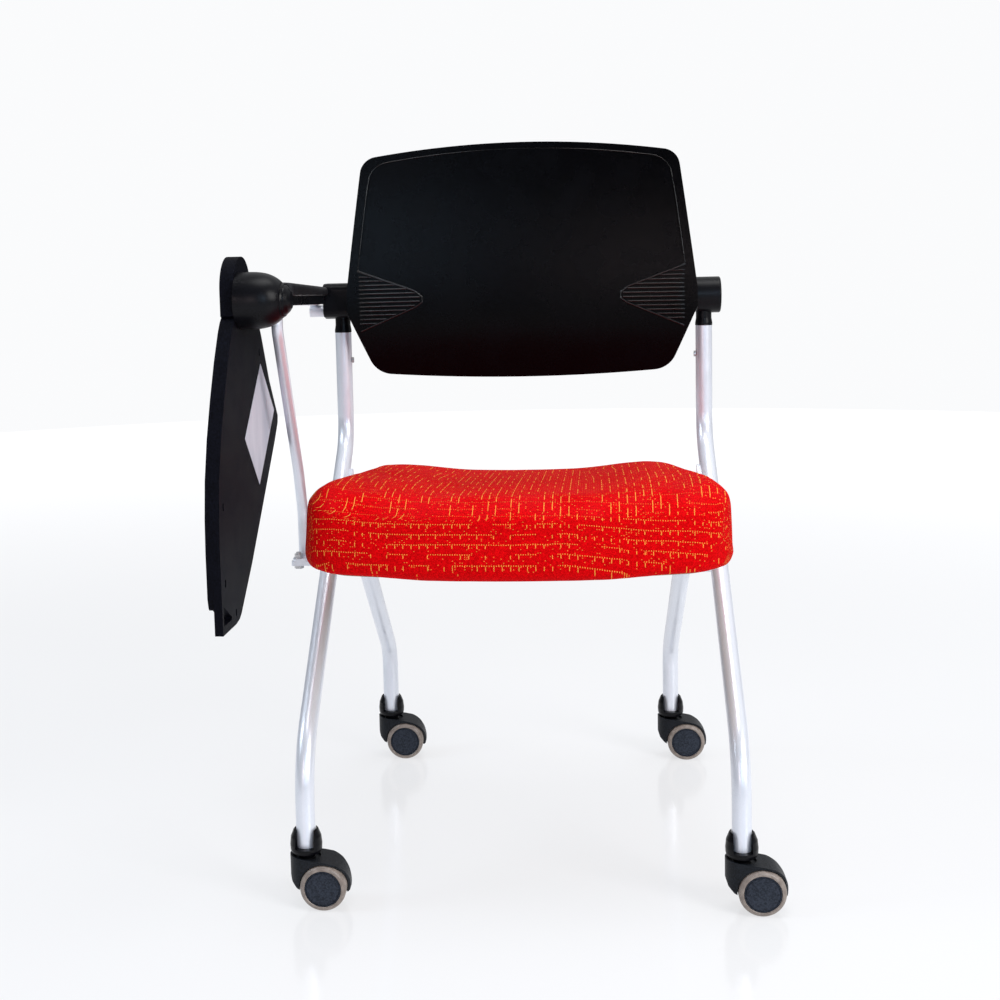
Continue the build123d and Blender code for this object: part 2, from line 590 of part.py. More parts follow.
for tag, cx, cy in CASTERS:
    axis = Axis((cx, cy, 0), (0, 0, 1))
    side_plane = Plane(origin=(cx, cy, 0), x_dir=(1, 0, 0), z_dir=(0, -1, 0))

    # socket pressed into the leg: crown with two petals round the tube
    with BuildPart() as leg_socket:
        with BuildSketch(side_plane):
            Polygon((STEM_R + RUN_FIT, 55), (8.5, 55), (8.5, 59), (13.5, 59), (15.4, 60.6), (16.4, 63.5),
                    (16.7, 69), (15.8, 77), (13.0, 84), (11.8, 85.2), (TUBE_R + 0.1, 82),
                    (TUBE_R + 0.1, LEG_FOOT_Z),
                    (TUBE_R - TUBE_WALL, LEG_FOOT_Z), (TUBE_R - TUBE_WALL, 103), (0, 103), (0, 99),
                    (STEM_R + RUN_FIT, 99), align=None)
        revolve(axis=axis)
        with BuildSketch(Plane.XY.offset(LEG_FOOT_Z)):
            with Locations((cx, cy)):
                Rectangle(2 * TUBE_R - 0.6, 50)
                Circle(TUBE_R, mode=Mode.SUBTRACT)
        extrude(amount=40, mode=Mode.SUBTRACT)
    save(leg_socket.part, f"leg_socket_{tag}")

    with BuildPart() as hood:
        with BuildSketch(side_plane):
            with BuildLine():
                Polyline((CUP_R, RIM_FRONT), (-CUP_R, RIM_BACK), (-CUP_R, 38), (-14.5, 31), (-9, 25.5),
                         (8, 18.5), (14, 17), (25, 17), (31, 19), (TIP[0] - 2, WHEEL_Z - 7), TIP)
                ThreePointArc(TIP, ARC_MID, ARC_END)
                Line(ARC_END, (CUP_R, RIM_FRONT))
            make_face()
        extrude(amount=22, both=True)
        with BuildSketch(Plane.XY):
            with Locations((cx, cy)):
                Circle(CUP_R)
                Polygon((0, -CUP_R), (12, -18.5), (26, -18.5), (36, -15), (43, -9.5), (47.2, -3),
                        (47.2, 3), (43, 9.5), (36, 15), (26, 18.5), (12, 18.5), (0, CUP_R), align=None)
        extrude(amount=80, mode=Mode.INTERSECT)
        for sy in (-1, 1):
            start = (cx + TRAIL, cy + sy * (WHEEL_IN - 0.5), WHEEL_Z)
            add(rod(start, (cx + TRAIL, cy + sy * 30, WHEEL_Z), POCKET_R), mode=Mode.SUBTRACT)
        add(rod((cx, cy, CUP_Z), (cx, cy, 80), CUP_R - 2.2), mode=Mode.SUBTRACT)
        add(rod((cx, cy, 41), (cx, cy, 80), STEM_R), mode=Mode.SUBTRACT)
        axle_hole = rod((cx + TRAIL, cy - 30, WHEEL_Z), (cx + TRAIL, cy + 30, WHEEL_Z), AXLE_R)
        add(axle_hole, mode=Mode.SUBTRACT)
    save(hood.part, f"hood_{tag}")

    with BuildPart() as stem:
        for z0, z1, r in ((41, 98.5, STEM_R), (CUP_Z, CUP_Z + 1.7, 9.5)):
            add(rod((cx, cy, z0), (cx, cy, z1), r))
        chamfer(stem.faces().sort_by(Axis.Z)[-1].edges(), 1.0)
    save(stem.part, f"stem_{tag}")

    with BuildPart() as axle:
        add(rod((cx + TRAIL, cy - 16.5, WHEEL_Z), (cx + TRAIL, cy + 16.5, WHEEL_Z), AXLE_R))
    save(axle.part, f"axle_{tag}")

    for end, sy in (("a", -1), ("b", 1)):
        wheel_plane = Plane(origin=(cx + TRAIL, cy, WHEEL_Z), x_dir=(0, sy, 0), z_dir=(sy, 0, 0))
        wheel_axis = Axis((cx + TRAIL, cy, WHEEL_Z), (0, 1, 0))
        # hub disc with a shallow ring groove on its outer face
        with BuildPart() as wheel_core:
            with BuildSketch(wheel_plane):
                Polygon((WHEEL_IN, AXLE_R + RUN_FIT), (WHEEL_IN, HUB_DISC_R), (WHEEL_OUT - 1.2, HUB_DISC_R),
                        (WHEEL_OUT - 0.6, HUB_DISC_R - 0.6), (WHEEL_OUT - 0.6, HUB_DISC_R - 1.4),
                        (WHEEL_OUT - 1.2, HUB_DISC_R - 1.7), (WHEEL_OUT - 0.4, HUB_DISC_R - 2.2),
                        (WHEEL_OUT, 0), (17.2, 0), (17.2, AXLE_R + RUN_FIT), align=None)
            revolve(axis=wheel_axis)
        save(wheel_core.part, f"wheel_core_{tag}_{end}")

        with BuildPart() as tread:
            with BuildSketch(wheel_plane):
                with BuildLine():
                    Polyline((WHEEL_IN, HUB_DISC_R), (WHEEL_IN, WHEEL_R - 1), (WHEEL_IN + 1, WHEEL_R),
                             (WHEEL_OUT - 4.5, WHEEL_R))
                    ThreePointArc((WHEEL_OUT - 4.5, WHEEL_R), (WHEEL_OUT - 1.1, WHEEL_R - 1.7),
                                  (WHEEL_OUT, HUB_DISC_R + 0.6))
                    Polyline((WHEEL_OUT, HUB_DISC_R + 0.6), (WHEEL_OUT - 0.6, HUB_DISC_R), (WHEEL_IN, HUB_DISC_R))
                make_face()
            revolve(axis=wheel_axis)
        save(tread.part, f"tread_{tag}_{end}")
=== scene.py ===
import json
from math import cos, pi, radians, sin

import bpy
from mathutils import Matrix, Vector
from mathutils.bvhtree import BVHTree


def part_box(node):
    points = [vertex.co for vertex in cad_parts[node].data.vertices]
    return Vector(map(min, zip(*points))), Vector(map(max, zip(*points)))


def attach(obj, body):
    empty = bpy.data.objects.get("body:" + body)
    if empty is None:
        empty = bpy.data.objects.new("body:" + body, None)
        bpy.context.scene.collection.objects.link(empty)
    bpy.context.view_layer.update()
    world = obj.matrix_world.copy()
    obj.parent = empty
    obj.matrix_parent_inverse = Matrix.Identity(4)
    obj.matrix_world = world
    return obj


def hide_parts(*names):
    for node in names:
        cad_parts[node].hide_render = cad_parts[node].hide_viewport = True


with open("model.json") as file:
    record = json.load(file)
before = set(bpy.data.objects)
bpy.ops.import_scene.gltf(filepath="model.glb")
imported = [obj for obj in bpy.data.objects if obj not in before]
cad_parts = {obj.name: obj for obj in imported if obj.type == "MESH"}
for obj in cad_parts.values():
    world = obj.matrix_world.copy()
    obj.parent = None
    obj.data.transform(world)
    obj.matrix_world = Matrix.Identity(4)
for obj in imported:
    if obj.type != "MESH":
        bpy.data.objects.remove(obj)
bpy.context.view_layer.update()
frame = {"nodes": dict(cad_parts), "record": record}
record = frame["record"]
SLOT_OF = {s["node"]: s["material_slot"] for s in record["subparts"]}
scene = bpy.context.scene

# lengths are metres and angles radians, unless a name or comment says otherwise
CAMERA_SPOT = (0.0685, -1.7335, 0.679)
CAMERA_YAW, CAMERA_PITCH, CAMERA_ROLL = radians(-5.12), radians(6.51), radians(-1.45)
CAMERA_LENS_MM, CAMERA_SENSOR_MM = 54.94, 36.0
CAMERA_SHIFT = (0.074, -0.08)

# name, place, point it is turned to, size, watts, colour
LIGHTS = (
    ("key_right", (2.2, -1.9, 1.7), (0.0, 0.0, 0.45), (1.2, 1.6), 62.0, (1.0, 0.99, 0.98)),
    ("window_left", (-2.6, -0.5, 2.3), (-0.1, 0.0, 0.6), (0.9, 1.2), 30.0, (0.78, 0.9, 1.0)),
    ("top", (0.2, -0.2, 2.8), (0.0, 0.0, 0.3), (1.6, 1.0), 24.0, (1.0, 1.0, 1.0)),
    ("cool_front", (0.5, -2.1, 1.05), (-0.15, 0.14, 0.68), (0.35, 0.85), 7.5, (0.55, 0.76, 1.0)),
    ("warm_front", (-0.55, -2.1, 0.85), (0.18, 0.14, 0.66), (0.3, 0.55), 5.0, (1.0, 0.84, 0.86)),
)
FLOOR_RADIUS, FLOOR_SIDES = 4.5, 96

# weave of the seat fabric
ROW_PITCH = 0.0116          # between the dotted rows
COLUMN_PITCH = 0.0082       # between the crossing threads
STITCH_PITCH = 0.0024       # between the dots of a row
RUN_LENGTH = 0.021          # a row is drawn or left out in runs of this length
LONG_DASH_PITCH = 0.0225    # between the dashes on top
STRAY_PITCH = 0.0021        # between possible stray stitches, down the cloth
YARN_PITCH = 0.0011         # ground weave

# seat cushion
CUSHION_VOXEL = 0.0055
CUSHION_FRAMES = 20         # length of the cloth simulation
CUSHION_PRESSURE = 3.0
CUSHION_CAP = 0.0045        # furthest that a point may move
TOP_ALLOWANCE = 0.0025      # the top starts this much low
HELD_HEIGHT = 0.005         # points this close to the underside are held
EDGE_BINS = 60              # steps in which the cushion's front edge is measured

# beads on the back
SLAT_PITCH, SLATS = 0.0052, 12
SLAT_END = 0.1975           # distance of the slats' outer ends from the middle
FIELD_BEAD, SLAT_BEAD, PANEL_BEAD = 0.0014, 0.0011, 0.0006


# ---------------------------------------------------------------- camera, light, floor
def make_camera():
    """Camera in front of the chair, at the height of its back and tilted slightly down."""
    yaw, pitch, roll = CAMERA_YAW, CAMERA_PITCH, CAMERA_ROLL
    forward = Vector((sin(yaw) * cos(pitch), cos(yaw) * cos(pitch), -sin(pitch)))
    right = Vector((cos(yaw), -sin(yaw), 0.0))
    up = right.cross(forward)
    rolled_right = right * cos(roll) + up * sin(roll)
    rolled_up = up * cos(roll) - right * sin(roll)
    data = bpy.data.cameras.new("camera")
    data.lens = CAMERA_LENS_MM
    data.sensor_width = CAMERA_SENSOR_MM
    data.shift_x, data.shift_y = CAMERA_SHIFT
    data.clip_start = 0.05
    data.clip_end = 100.0
    cam = bpy.data.objects.new("camera", data)
    turn = Matrix((rolled_right, rolled_up, -forward)).transposed().to_4x4()
    cam.matrix_world = Matrix.Translation(CAMERA_SPOT) @ turn
    scene.collection.objects.link(cam)
    scene.camera = cam


def area_light(name, spot, target, size, power, colour):
    """Soft rectangular light at a spot, turned towards a target."""
    data = bpy.data.lights.new(name, "AREA")
    data.shape = "RECTANGLE"
    data.size, data.size_y = size
    data.energy = power
    data.color = colour
    lamp = bpy.data.objects.new(name, data)
    lamp.location = spot
    aim = Vector(target) - Vector(spot)
    lamp.rotation_mode = "QUATERNION"
    lamp.rotation_quaternion = aim.to_track_quat("-Z", "Y")
    scene.collection.objects.link(lamp)


def make_world():
    """White surround for the camera, and a dimmer sky for the light it gives.

    The sky falls off downwards, towards -X and in front, so that dark plastic stays dark.
    """
    world = bpy.data.worlds.new("studio")
    world.use_nodes = True
    tree = world.node_tree
    seen = tree.nodes["Background"]
    seen.inputs["Color"].default_value = (0.96, 0.965, 0.975, 1.0)
    sky = tree.nodes.new("ShaderNodeBackground")
    height = tree.nodes.new("ShaderNodeSeparateXYZ")
    tree.links.new(tree.nodes.new("ShaderNodeTexCoord").outputs["Generated"], height.inputs[0])
    upper = rescale(tree, height.outputs[2], 0.0, 0.8, 0.3, 0.95)
    lit_side = rescale(tree, height.outputs[0], -0.8, 0.3, 0.45, 1.0)
    dim_front = rescale(tree, height.outputs[1], -0.7, 0.3, 0.3, 1.0)
    lit = calc(tree, "MULTIPLY", calc(tree, "MULTIPLY", upper, lit_side), dim_front)
    tree.links.new(lit, sky.inputs["Strength"])
    sky.inputs["Color"].default_value = (0.97, 0.98, 1.0, 1.0)
    pick = tree.nodes.new("ShaderNodeMixShader")
    tree.links.new(tree.nodes.new("ShaderNodeLightPath").outputs["Is Camera Ray"], pick.inputs[0])
    tree.links.new(sky.outputs[0], pick.inputs[1])
    tree.links.new(seen.outputs[0], pick.inputs[2])
    tree.links.new(pick.outputs[0], tree.nodes["World Output"].inputs["Surface"])
    scene.world = world


def make_floor():
    """Round glossy floor that glows with painted light, brighter outwards, so that it runs into the
    surround.
    """
    floor_mesh = bpy.data.meshes.new("floor")
    steps = [2 * pi * k / FLOOR_SIDES for k in range(FLOOR_SIDES)]
    rim = [(FLOOR_RADIUS * cos(a), FLOOR_RADIUS * sin(a), 0.0) for a in steps]
    floor_mesh.from_pydata(rim, [], [tuple(range(FLOOR_SIDES))])
    floor = bpy.data.objects.new("floor", floor_mesh)
    scene.collection.objects.link(floor)
    mat, tree, shader = new_material("studio_floor", (0.24, 0.243, 0.25), 0.13)
    # painted light: the floor glows, from 0.66 near the middle to 0.93 towards the rim, on top of the
    # lamp light it reflects
    shader.inputs["Emission Color"].default_value = (0.965, 0.97, 0.985, 1.0)
    distance = tree.nodes.new("ShaderNodeVectorMath")
    distance.operation = "LENGTH"
    tree.links.new(object_place(tree), distance.inputs[0])
    glow = rescale(tree, distance.outputs["Value"], 0.6, 4.2, 0.66, 0.93)
    tree.links.new(glow, shader.inputs["Emission Strength"])
    shader.inputs["Specular IOR Level"].default_value = 0.4
    floor_mesh.materials.append(mat)


# ---------------------------------------------------------------- node helpers
def new_material(name, colour, roughness, metallic=0.0):
    mat = bpy.data.materials.new(name)
    mat.use_nodes = True
    tree = mat.node_tree
    shader = tree.nodes["Principled BSDF"]
    shader.inputs["Base Color"].default_value = (*colour, 1.0)
    shader.inputs["Roughness"].default_value = roughness
    shader.inputs["Metallic"].default_value = metallic
    return mat, tree, shader


def feed(tree, socket, value):
    """Put a value or another node's output into an input socket."""
    if isinstance(value, bpy.types.NodeSocket):
        tree.links.new(value, socket)
    else:
        socket.default_value = value


def calc(tree, operation, a, b=0.0, c=0.0):
    node = tree.nodes.new("ShaderNodeMath")
    node.operation = operation
    for socket, value in zip(node.inputs, (a, b, c)):
        feed(tree, socket, value)
    return node.outputs[0]


def rescale(tree, value, lo, hi, new_lo, new_hi):
    """Smooth step from new_lo at lo to new_hi at hi."""
    node = tree.nodes.new("ShaderNodeMapRange")
    node.interpolation_type = "SMOOTHSTEP"
    feed(tree, node.inputs["Value"], value)
    ends = {"From Min": lo, "From Max": hi, "To Min": new_lo, "To Max": new_hi}
    for key, end in ends.items():
        node.inputs[key].default_value = end
    return node.outputs["Result"]


def object_place(tree):
    return tree.nodes.new("ShaderNodeTexCoord").outputs["Object"]


def noise(tree, place, scale, detail=2.0, stretch=None):
    """Noise texture; stretch draws the pattern out along the axes with a factor below one."""
    if stretch:
        mapping = tree.nodes.new("ShaderNodeMapping")
        mapping.inputs["Scale"].default_value = stretch
        tree.links.new(place, mapping.inputs["Vector"])
        place = mapping.outputs["Vector"]
    node = tree.nodes.new("ShaderNodeTexNoise")
    node.inputs["Scale"].default_value = scale
    node.inputs["Detail"].default_value = detail
    tree.links.new(place, node.inputs["Vector"])
    return node.outputs["Fac"]


def blend_colours(tree, factor, first, second):
    node = tree.nodes.new("ShaderNodeMix")
    node.data_type = "RGBA"
    feed(tree, node.inputs["Factor"], factor)
    for socket, value in ((node.inputs[6], first), (node.inputs[7], second)):
        feed(tree, socket, value if isinstance(value, bpy.types.NodeSocket) else (*value, 1.0))
    return node.outputs[2]


def bump(tree, shader, height, strength, distance, below=None):
    node = tree.nodes.new("ShaderNodeBump")
    node.inputs["Strength"].default_value = strength
    node.inputs["Distance"].default_value = distance
    feed(tree, node.inputs["Height"], height)
    if below:
        tree.links.new(below, node.inputs["Normal"])
    tree.links.new(node.outputs["Normal"], shader.inputs["Normal"])
    return node.outputs["Normal"]


# ---------------------------------------------------------------- materials
def moulded_plastic(name, dark, light, roughness, grain, depth, specular):
    """Moulded plastic with a fine spark-eroded grain and faint handling marks."""
    mat, tree, shader = new_material(name, dark, roughness)
    place = object_place(tree)
    specks = noise(tree, place, grain * 0.7, 3.0)
    patches = noise(tree, place, 30.0, 5.0)
    shade = calc(tree, "MULTIPLY_ADD", specks, 0.8, calc(tree, "MULTIPLY", patches, 0.2))
    colour = blend_colours(tree, rescale(tree, shade, 0.36, 0.64, 0.0, 1.0), dark, light)
    tree.links.new(colour, shader.inputs["Base Color"])
    gloss = rescale(tree, patches, 0.3, 0.72, roughness - 0.025, roughness + 0.03)
    tree.links.new(gloss, shader.inputs["Roughness"])
    bump(tree, shader, noise(tree, place, grain, 2.0), 0.8, depth)
    shader.inputs["Specular IOR Level"].default_value = specular
    return mat


def silver_paint():
    """Silver powder coat: metal flake, slight orange peel and a few dull patches."""
    mat, tree, shader = new_material("silver_paint", (0.7, 0.73, 0.8), 0.36, 0.42)
    place = object_place(tree)
    flake = tree.nodes.new("ShaderNodeTexVoronoi")
    flake.inputs["Scale"].default_value = 2600.0
    tree.links.new(place, flake.inputs["Vector"])
    sparkle = rescale(tree, flake.outputs["Distance"], 0.1, 0.75, 0.0, 1.0)
    drift = noise(tree, place, 14.0, 3.0)
    amount = calc(tree, "MULTIPLY_ADD", sparkle, 0.6, calc(tree, "MULTIPLY", drift, 0.4))
    colour = blend_colours(tree, amount, (0.66, 0.69, 0.765), (0.82, 0.85, 0.92))
    tree.links.new(colour, shader.inputs["Base Color"])
    gloss = rescale(tree, noise(tree, place, 60.0, 4.0), 0.3, 0.7, 0.29, 0.39)
    tree.links.new(gloss, shader.inputs["Roughness"])
    fine = bump(tree, shader, sparkle, 0.12, 0.00003)
    bump(tree, shader, noise(tree, place, 420.0, 2.0), 0.2, 0.00006, fine)
    shader.inputs["Coat Weight"].default_value = 0.12
    shader.inputs["Coat Roughness"].default_value = 0.25
    return mat


def plated_steel(name, dark, light, roughness):
    """Zinc plate or blackened steel with fine turning marks."""
    mat, tree, shader = new_material(name, dark, roughness, 0.9)
    place = object_place(tree)
    marks = noise(tree, place, 500.0, 3.0, (0.15, 1.0, 1.0))
    cloud = noise(tree, place, 70.0, 3.0)
    shade = calc(tree, "MULTIPLY_ADD", marks, 0.5, calc(tree, "MULTIPLY", cloud, 0.5))
    tree.links.new(blend_colours(tree, shade, dark, light), shader.inputs["Base Color"])
    gloss = rescale(tree, cloud, 0.3, 0.7, roughness - 0.08, roughness + 0.1)
    tree.links.new(gloss, shader.inputs["Roughness"])
    bump(tree, shader, marks, 0.25, 0.00005)
    return mat


def soft_tread():
    """Cast polyurethane tyre with a satin skin and faint scuffs."""
    mat, tree, shader = new_material("tread_pu", (0.2, 0.17, 0.15), 0.4)
    place = object_place(tree)
    scuffs = noise(tree, place, 160.0, 4.0)
    lighter_patches = rescale(tree, scuffs, 0.35, 0.7, 0.0, 1.0)
    colour = blend_colours(tree, lighter_patches, (0.19, 0.155, 0.135), (0.28, 0.235, 0.205))
    tree.links.new(colour, shader.inputs["Base Color"])
    tree.links.new(rescale(tree, scuffs, 0.3, 0.7, 0.32, 0.46), shader.inputs["Roughness"])
    bump(tree, shader, noise(tree, place, 900.0, 3.0), 0.3, 0.00006)
    return mat


def paper_label():
    """Blank foil-backed paper label with soft upright bands of shade."""
    mat, tree, shader = new_material("label_vinyl", (0.62, 0.65, 0.72), 0.38)
    place = object_place(tree)
    bands = noise(tree, place, 26.0, 2.0, (1.0, 1.0, 0.35))
    fibre = noise(tree, place, 1800.0, 2.0)
    mix = calc(tree, "MULTIPLY_ADD", fibre, 0.3, calc(tree, "MULTIPLY", bands, 0.7))
    shade = rescale(tree, mix, 0.3, 0.7, 0.0, 1.0)
    colour = blend_colours(tree, shade, (0.42, 0.45, 0.54), (0.66, 0.68, 0.76))
    tree.links.new(colour, shader.inputs["Base Color"])
    bump(tree, shader, fibre, 0.2, 0.00003)
    return mat


def plywood():
    """Plywood with its grain across the seat and fine pores."""
    mat, tree, shader = new_material("plywood", (0.36, 0.24, 0.14), 0.62)
    place = object_place(tree)
    grain = noise(tree, place, 40.0, 6.0, (0.12, 1.6, 5.0))
    pores = noise(tree, place, 700.0, 2.0, (0.08, 1.0, 1.0))
    shade = rescale(tree, grain, 0.3, 0.7, 0.0, 1.0)
    colour = blend_colours(tree, shade, (0.26, 0.16, 0.085), (0.47, 0.33, 0.2))
    tree.links.new(colour, shader.inputs["Base Color"])
    bump(tree, shader, pores, 0.3, 0.0001)
    return mat


def red_fabric():
    """Red upholstery weave with broken yellow threads both ways.

    The "weave" attribute holds the cloth's own coordinates in metres: along the seat's width, down
    its front, and how far the cloth lies on top, where the crossing threads show as longer dashes.
    """
    mat, tree, shader = new_material("red_fabric", (0.66, 0.004, 0.012), 0.78)
    attribute = tree.nodes.new("ShaderNodeAttribute")
    attribute.attribute_name = "weave"
    split = tree.nodes.new("ShaderNodeSeparateXYZ")
    tree.links.new(attribute.outputs["Vector"], split.inputs[0])
    across, down, top = split.outputs[0], split.outputs[1], split.outputs[2]

    def product(a, b):
        return calc(tree, "MULTIPLY", a, b)

    def cells(value, pitch):
        return calc(tree, "DIVIDE", value, pitch)

    def chance(u, v, seed):
        """One random number for each cell of the weave."""
        cell = tree.nodes.new("ShaderNodeCombineXYZ")
        feed(tree, cell.inputs[0], calc(tree, "FLOOR", u))
        feed(tree, cell.inputs[1], calc(tree, "FLOOR", v))
        cell.inputs[2].default_value = seed
        lottery = tree.nodes.new("ShaderNodeTexWhiteNoise")
        lottery.noise_dimensions = "3D"
        tree.links.new(cell.outputs[0], lottery.inputs["Vector"])
        return lottery.outputs["Value"]

    def drawn(u, v, seed, missing):
        """One in the cells that keep their thread, zero in the missing share of them."""
        return calc(tree, "GREATER_THAN", chance(u, v, seed), missing)

    def near_middle(value, half):
        """One where the fraction of a value is within half of 0.5, falling softly to zero."""
        off = calc(tree, "ABSOLUTE", calc(tree, "SUBTRACT", calc(tree, "FRACT", value), 0.5))
        return rescale(tree, off, half, half * 1.5, 1.0, 0.0)

    rows = cells(down, ROW_PITCH)
    columns = cells(across, COLUMN_PITCH)
    stitches = cells(across, STITCH_PITCH)

    # dotted rows, broken into runs
    dots = product(near_middle(rows, 0.038), near_middle(stitches, 0.14))
    run = drawn(cells(across, RUN_LENGTH), rows, 1.0, 0.28)
    fade = rescale(tree, top, 0.2, 0.9, 1.0, 0.25)
    dots = product(product(dots, run), fade)

    # short dashes across the rows on the front, long ones on the top
    shifted = calc(tree, "ADD", rows, 0.24)
    short = product(near_middle(shifted, 0.13), drawn(columns, shifted, 2.0, 0.33))
    stagger = product(chance(columns, 0.5, 5.0), 3.0)
    lengthwise = calc(tree, "ADD", cells(down, LONG_DASH_PITCH), stagger)
    long = product(near_middle(lengthwise, 0.27), drawn(columns, lengthwise, 3.0, 0.42))
    on_top = rescale(tree, top, 0.25, 0.6, 0.0, 1.0)
    on_front = calc(tree, "SUBTRACT", 1.0, on_top)
    dashes = calc(tree, "ADD", product(short, on_front), product(long, on_top))
    dashes = product(dashes, near_middle(columns, 0.038))

    # single stray stitches between the rows
    small_rows = cells(down, STRAY_PITCH)
    stray_shape = product(near_middle(stitches, 0.18), near_middle(small_rows, 0.16))
    stray = product(drawn(stitches, small_rows, 4.0, 0.9), stray_shape)
    yellow = calc(tree, "MAXIMUM", calc(tree, "MAXIMUM", dots, dashes), product(stray, 0.5))
    yellow = calc(tree, "MINIMUM", yellow, 0.76)

    # ground weave, and a painted pink sheen on top
    ends = calc(tree, "SINE", product(across, 2 * pi / YARN_PITCH))
    picks = calc(tree, "SINE", product(down, 2 * pi / YARN_PITCH))
    weave = product(ends, picks)
    place = object_place(tree)
    slub = noise(tree, place, 520.0, 3.0)
    cloud = noise(tree, place, 22.0, 3.0)
    shade = rescale(tree, slub, 0.32, 0.68, 0.0, 1.0)
    ground = blend_colours(tree, shade, (0.46, 0.0002, 0.001), (0.72, 0.001, 0.003))
    # painted sheen: soft patches on the top of the cloth are lifted towards pink (0.72, 0.05, 0.07), a
    # painted highlight where the cloth lies on top
    lighter_patches = product(rescale(tree, cloud, 0.35, 0.7, 0.0, 0.05), top)
    ground = blend_colours(tree, lighter_patches, ground, (0.72, 0.05, 0.07))
    threads = blend_colours(tree, slub, (0.86, 0.30, 0.03), (0.95, 0.50, 0.10))
    tree.links.new(blend_colours(tree, yellow, ground, threads), shader.inputs["Base Color"])
    height = calc(tree, "MULTIPLY_ADD", weave, 0.25, product(slub, 0.5))
    height = calc(tree, "MULTIPLY_ADD", yellow, 0.8, height)
    bump(tree, shader, height, 0.6, 0.0004)
    shader.inputs["Sheen Weight"].default_value = 0.02
    shader.inputs["Sheen Roughness"].default_value = 0.4
    shader.inputs["Sheen Tint"].default_value = (1.0, 0.45, 0.5, 1.0)
    shader.inputs["Specular IOR Level"].default_value = 0.03
    return mat


MATERIALS = {
    "silver_paint": silver_paint(),
    "zinc_steel": plated_steel("zinc_steel", (0.42, 0.42, 0.44), (0.6, 0.6, 0.61), 0.38),
    "bracket_steel": plated_steel("bracket_steel", (0.03, 0.03, 0.032), (0.06, 0.06, 0.064), 0.45),
    "label_vinyl": paper_label(),
    "red_fabric": red_fabric(),
    "plywood": plywood(),
    "tread_pu": soft_tread(),
}
# name: dark colour, light colour, roughness, grain scale, grain depth, specular level
PLASTICS = {
    "pad_foam": ((0.003, 0.003, 0.004), (0.01, 0.01, 0.013), 0.5, 800.0, 0.0002, 0.2),
    "black_plastic": ((0.0012, 0.0012, 0.002), (0.0045, 0.0046, 0.0066), 0.29, 1300.0, 0.00014, 0.13),
    "shell_plastic": ((0.0002, 0.0002, 0.0003), (0.0012, 0.0013, 0.0022), 0.27, 1100.0, 0.00016, 0.06),
    "board_plastic": ((0.001, 0.001, 0.002), (0.0045, 0.005, 0.0095), 0.56, 1100.0, 0.0004, 0.045),
    "black_rubber": ((0.012, 0.012, 0.012), (0.026, 0.026, 0.026), 0.66, 700.0, 0.0002, 0.14),
    "hood_plastic": ((0.003, 0.004, 0.0055), (0.011, 0.0135, 0.019), 0.42, 1000.0, 0.0004, 0.16),
    "slate_plastic": ((0.008, 0.0115, 0.019), (0.026, 0.033, 0.049), 0.46, 900.0, 0.0005, 0.2),
    "gloss_line": ((0.0005, 0.0005, 0.0008), (0.002, 0.0021, 0.003), 0.24, 1100.0, 0.00005, 0.4),
}
for slot_name, values in PLASTICS.items():
    MATERIALS[slot_name] = moulded_plastic(slot_name, *values)
DARK_STEEL = plated_steel("dark_steel", (0.012, 0.012, 0.013), (0.03, 0.03, 0.032), 0.42)


def dress_cad():
    """Give every carried-over CAD node its detailed material."""
    for name, obj in frame["nodes"].items():
        mat = DARK_STEEL if name.startswith("stem_") else MATERIALS[SLOT_OF[name]]
        obj.data.materials.clear()
        obj.data.materials.append(mat)


# ---------------------------------------------------------------- meshes
def finish_mesh(mesh, material):
    """One material and smooth shading all over."""
    mesh.materials.clear()
    mesh.materials.append(material)
    mesh.polygons.foreach_set("use_smooth", [True] * len(mesh.polygons))


def bake_modifiers(obj):
    """Replace an object's mesh by its evaluated mesh and drop the modifiers."""
    graph = bpy.context.evaluated_depsgraph_get()
    mesh = bpy.data.meshes.new_from_object(obj.evaluated_get(graph))
    obj.modifiers.clear()
    old = obj.data
    obj.data = mesh
    bpy.data.meshes.remove(old)


def remeshed_copy(node, name, voxel):
    """Copy of a CAD node as a new object with an even mesh."""
    copy = bpy.data.objects.new(name, frame["nodes"][node].data.copy())
    scene.collection.objects.link(copy)
    remesh = copy.modifiers.new("remesh", "REMESH")
    remesh.mode = "VOXEL"
    remesh.voxel_size = voxel
    bake_modifiers(copy)
    return copy


def soften(obj, repeats):
    smooth = obj.modifiers.new("soften", "SMOOTH")
    smooth.factor = 0.5
    smooth.iterations = repeats


def rise(x, lo, hi):
    """Smooth step from 0 at lo to 1 at hi."""
    t = min(1.0, max(0.0, (x - lo) / (hi - lo)))
    return t * t * (3.0 - 2.0 * t)


def seat_shape(p, lo, hi):
    """Upholstered form: side ridges, a shallow hollow between them and a bowed lower front edge."""
    mid_x = (lo.x + hi.x) / 2
    x = abs(p.x - mid_x)
    back = (p.y - lo.y) / (hi.y - lo.y)
    high = rise(p.z, lo.z + 0.03, lo.z + 0.06)
    ridge = rise(x, 0.06, 0.15)
    along = rise(back, 0.0, 0.3) * (1.0 - 0.55 * rise(back, 0.72, 1.0))
    outwards = 1.0 if p.x > mid_x else -1.0
    p.x += outwards * 0.0038 * rise(x, 0.14, 0.2) * (1.0 - rise(back, 0.35, 0.6))
    shoulder = rise(x, 0.155, 0.2) * rise(back, 0.0, 0.18) * (1.0 - 0.7 * rise(back, 0.75, 1.0))
    hollow = (1.0 - rise(x, 0.02, 0.12)) * rise(back, 0.3, 0.8)
    p.z += high * (0.0115 * ridge * along + 0.007 * shoulder - 0.002 * hollow)
    low = 1.0 - rise(p.z, lo.z + 0.012, lo.z + 0.05)
    front = 1.0 - rise(back, 0.02, 0.16)
    p.z += low * front * (0.004 * rise(x, 0.08, 0.17) + 0.0075 * rise(x, 0.18, 0.215) - 0.003)


